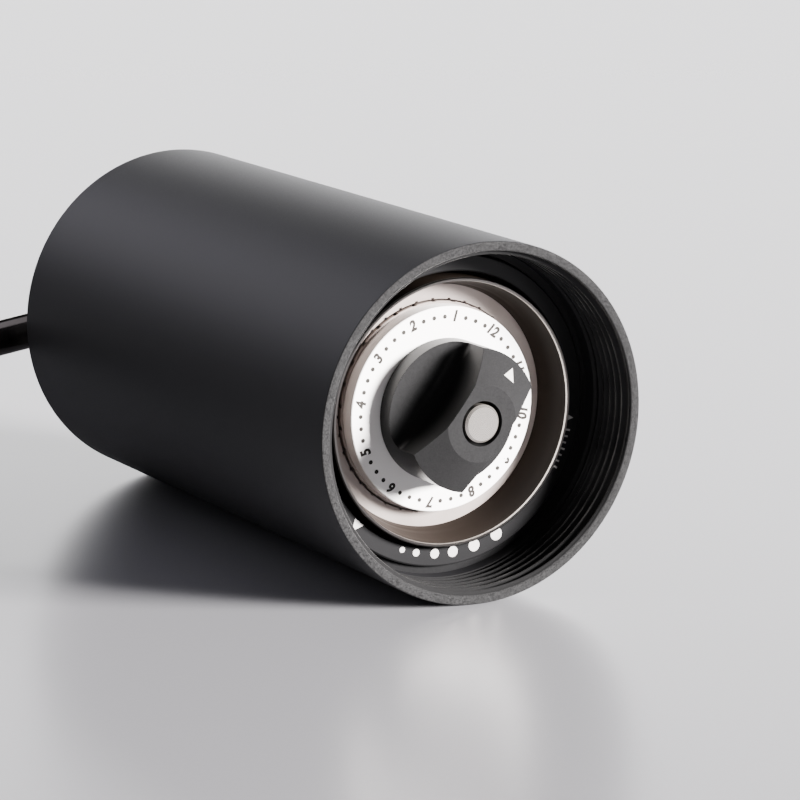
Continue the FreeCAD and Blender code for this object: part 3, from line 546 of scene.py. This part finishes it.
class Marks:
    """Collects flat marks and lays them on a surface that turns round the grinder's axis."""

    def __init__(self, surface):
        self.surface = surface
        self.grid = bmesh.new()

    def lay(self, points, faces, radius, degrees):
        """Adds a shape whose u runs clockwise and whose v runs outward, centred at a place."""
        outward = Vector((math.sin(math.radians(degrees)), math.cos(math.radians(degrees))))
        across = Vector((outward.y, -outward.x))
        corners = []
        for u, v in points:
            flat = outward * (radius + v) + across * u
            depth = self.surface(flat.length) - MARK_LIFT
            corners.append(self.grid.verts.new(Vector((flat.x, depth, flat.y)) * MM))
        for face in faces:
            self.grid.faces.new([corners[index] for index in face])

    def disc(self, size, radius, degrees):
        outline = []
        for step in range(DISC_SIDES):
            angle = 2 * math.pi * step / DISC_SIDES
            outline.append((size / 2 * math.cos(angle), size / 2 * math.sin(angle)))
        self.lay(outline, [tuple(range(len(outline)))], radius, degrees)

    def rectangle(self, width, height, radius, degrees):
        right = width / 2
        top = height / 2
        corners = [(-right, -top), (right, -top), (right, top), (-right, top)]
        self.lay(corners, [(0, 1, 2, 3)], radius, degrees)

    def triangle(self, width, height, radius, degrees):
        """A triangle that points outward, in strips so that it can follow a curved surface."""
        rows = TRIANGLE_ROWS
        points = []
        faces = []
        for row in range(rows):
            v = height * row / rows
            half = width / 2 * (1 - row / rows)
            points.extend((half * (2 * step / rows - 1), v) for step in range(rows + 1))
        points.append((0.0, height))
        for row in range(rows):
            for step in range(rows):
                near = row * (rows + 1) + step
                if row == rows - 1:
                    faces.append((near, near + 1, len(points) - 1))
                else:
                    faces.append((near, near + 1, near + rows + 2, near + rows + 1))
        self.lay([(u, v - height / 2) for u, v in points], faces, radius, degrees)

    def finish(self, name, body, look):
        """Turns the marks laid so far into one piece with the thickness of ink."""
        mesh = bpy.data.meshes.new(name)
        bmesh.ops.recalc_face_normals(self.grid, faces=self.grid.faces)
        self.grid.to_mesh(mesh)
        self.grid.free()
        piece = add_piece(name, mesh, body, [look])
        ink = piece.modifiers.new("ink", "SOLIDIFY")
        ink.thickness = MARK_THICK * MM
        ink.offset = 0.0


DIAL_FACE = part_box("dial_plate")[0].y / MM
RING_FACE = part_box("fine_ring")[0].y / MM
KNOB_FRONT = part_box("adjust_knob")[0].y / MM
KNOB_ANGLE = 39.0
BOSS_RADIUS = 6.1
SHOULDER_RADIUS = 11.4
SHOULDER_DROP = 2.7

DIAL_NUMBERS = 12
DIAL_STEP = 30.0
DIAL_NUMBER_HEIGHT = 1.85
DIAL_NUMBER_RADIUS = 14.85
DIAL_DOT_SIZE = 0.7
DIAL_DOT_RADIUS = 14.7
DIAL_DOT_STEP = 7.5

# Angle and size of each growing dot of the fine ring.
RING_DOTS = (
    (-159.1, 0.95), (-165.7, 1.2), (-174.3, 1.55), (177.4, 1.75), (167.5, 1.95), (156.7, 2.05),
)
RING_DOT_RADIUS = 22.8
TICKS = 7
TICK_WIDTH = 0.3
TICK_LONG = 0.9
TICK_SHORT = 0.6
TICK_RADIUS = 22.9
TICK_START = 104.0
TICK_STEP = 2.6


def dial_marks():
    """Twelve numbers with three dots after each."""
    marks = Marks(lambda radius: DIAL_FACE)
    for number in range(1, DIAL_NUMBERS + 1):
        degrees = KNOB_ANGLE - DIAL_STEP * (number % DIAL_NUMBERS)
        points, faces = glyph(str(number), DIAL_NUMBER_HEIGHT)
        marks.lay(points, faces, DIAL_NUMBER_RADIUS, degrees)
        for dot in (1, 2, 3):
            marks.disc(DIAL_DOT_SIZE, DIAL_DOT_RADIUS, degrees - DIAL_DOT_STEP * dot)
    marks.finish("dial_marks", "cone", PRINT_GREY)


def ring_marks():
    """Growing dots, a triangle, a small arrow and short ticks on the fine adjusting ring."""
    marks = Marks(lambda radius: RING_FACE)
    for degrees, size in RING_DOTS:
        marks.disc(size, RING_DOT_RADIUS, degrees)
    marks.triangle(width=2.0, height=1.9, radius=23.3, degrees=-135.0)
    marks.triangle(width=1.0, height=1.1, radius=23.0, degrees=99.0)
    for tick in range(TICKS):
        height = TICK_LONG if tick % 3 == 0 else TICK_SHORT
        marks.rectangle(TICK_WIDTH, height, TICK_RADIUS, TICK_START + TICK_STEP * tick)
    marks.finish("ring_marks", "fine_adjuster", PRINT_LIGHT)


def knob_pointer():
    """The triangle on the knob's sloping shoulder."""
    slope = SHOULDER_DROP / (SHOULDER_RADIUS - BOSS_RADIUS)
    marks = Marks(lambda radius: KNOB_FRONT + (radius - BOSS_RADIUS) * slope)
    marks.triangle(width=2.2, height=1.9, radius=9.25, degrees=KNOB_ANGLE + 2.0)
    marks.finish("knob_pointer", "adjuster", PRINT_LIGHT)


dial_marks()
ring_marks()
knob_pointer()

# ---------------------------------------------------------------- camera, floor and light

CAMERA_PLACE = (-0.3046, -0.5036, 0.1335)
CAMERA_AZIMUTH = -29.98
CAMERA_ELEVATION = 12.45
CAMERA_LENS = 176.4
CAMERA_SENSOR = 36.0
FLOOR_SIZE = 6.0
WORLD_TINT = (0.72, 0.73, 0.76, 1)
WORLD_STRENGTH = 0.03


def add_camera():
    data = bpy.data.cameras.new("camera")
    data.lens = CAMERA_LENS
    data.sensor_width = CAMERA_SENSOR
    camera = bpy.data.objects.new("camera", data)
    bpy.context.scene.collection.objects.link(camera)
    azimuth = math.radians(CAMERA_AZIMUTH)
    elevation = math.radians(CAMERA_ELEVATION)
    back = Vector((
        math.sin(azimuth) * math.cos(elevation),
        -math.cos(azimuth) * math.cos(elevation),
        math.sin(elevation),
    ))
    camera.location = CAMERA_PLACE
    camera.rotation_mode = "QUATERNION"
    camera.rotation_quaternion = (-back).to_track_quat("-Z", "Y")
    bpy.context.scene.camera = camera


def area_light(name, place, target, size, watts, tint, mirrored=True):
    """A soft box aimed at a target. One that is not mirrored lights surfaces without a glare."""
    data = bpy.data.lights.new(name, "AREA")
    data.shape = "RECTANGLE"
    data.size, data.size_y = size
    data.energy = watts
    data.color = tint
    lamp = bpy.data.objects.new(name, data)
    lamp.location = place
    lamp.rotation_mode = "QUATERNION"
    lamp.rotation_quaternion = (Vector(place) - Vector(target)).to_track_quat("Z", "Y")
    lamp.visible_glossy = mirrored
    bpy.context.scene.collection.objects.link(lamp)


def studio_floor():
    """A plain satin floor at the height of the tube's lowest line."""
    mesh = bpy.data.meshes.new("floor")
    grid = bmesh.new()
    bmesh.ops.create_grid(grid, x_segments=1, y_segments=1, size=FLOOR_SIZE)
    grid.to_mesh(mesh)
    grid.free()
    floor = bpy.data.objects.new("floor", mesh)
    floor.location = (0, 0, cad_low.z)
    bpy.context.scene.collection.objects.link(floor)
    look = Look("floor_grey")
    look.tint(look.noise(0.6), (0.180, 0.180, 0.193), (0.186, 0.186, 0.199))
    look.put(roughness=0.27, specular_ior_level=0.85)
    mesh.materials.append(look.material)


add_camera()
studio_floor()
area_light(
    "backdrop", place=(1.34, 1.62, 0.33), target=(0, 0, 0.1), size=(2.0, 0.8),
    watts=23.5, tint=(0.99, 0.985, 1.0),
)
area_light(
    "back_left", place=(-0.50, 1.10, 0.70), target=(0, 0.05, 0), size=(1.3, 0.80),
    watts=9.2, tint=(0.92, 0.9, 1.0),
)
area_light(
    "front_left", place=(-1.2, -1.5, 0.55), target=(0, 0, 0), size=(0.8, 0.5),
    watts=4, tint=(1.0, 0.98, 0.97),
)
area_light(
    "overhead", place=(0.1, 0.3, 0.9), target=(0, 0.05, 0), size=(0.9, 0.7),
    watts=1.5, tint=(0.92, 0.9, 1.0),
)
area_light(
    "front_right", place=(1.796, -2.299, 0.70), target=(0, 0, 0), size=(1.0, 0.7),
    watts=1700, tint=(1.0, 0.965, 0.94), mirrored=False,
)

world = bpy.data.worlds.new("studio")
world.use_nodes = True
background = world.node_tree.nodes["Background"]
background.inputs["Color"].default_value = WORLD_TINT
background.inputs["Strength"].default_value = WORLD_STRENGTH
bpy.context.scene.world = world
